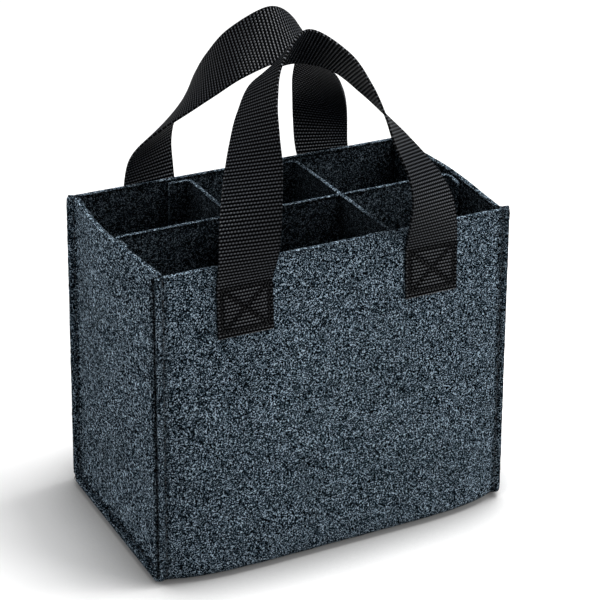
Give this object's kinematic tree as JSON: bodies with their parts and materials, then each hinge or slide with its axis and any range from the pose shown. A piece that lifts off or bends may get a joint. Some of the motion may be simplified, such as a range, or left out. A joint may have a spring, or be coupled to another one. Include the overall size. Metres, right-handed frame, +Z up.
{
  "type": "felt bottle carrier",
  "caption": "Open felt carrier for upright bottles: box body with flanged sewn corners, crossed felt dividers and webbing handles that arch over the rim.",
  "frame": {"origin": "middle of the underside, on the table", "axes": "+Z up, X along the wide front from the left to the right side panel, -Y towards the front panel"},
  "size_m": [0.2788, 0.1788, 0.3607],
  "materials": {
    "felt": "charcoal melange felt, matt, pressed, with fine pale fibres",
    "divider_felt": "charcoal melange felt, matt, slightly thinner",
    "webbing": "black woven webbing, low sheen"
  },
  "bodies": {
    "root": {"wrap_panel": "felt", "left_side_panel": "felt", "right_side_panel": "felt", "long_divider": "divider_felt", "left_cross_divider": "divider_felt", "right_cross_divider": "divider_felt", "front_handle": "webbing", "back_handle": "webbing"}
  },
  "joints": []
}
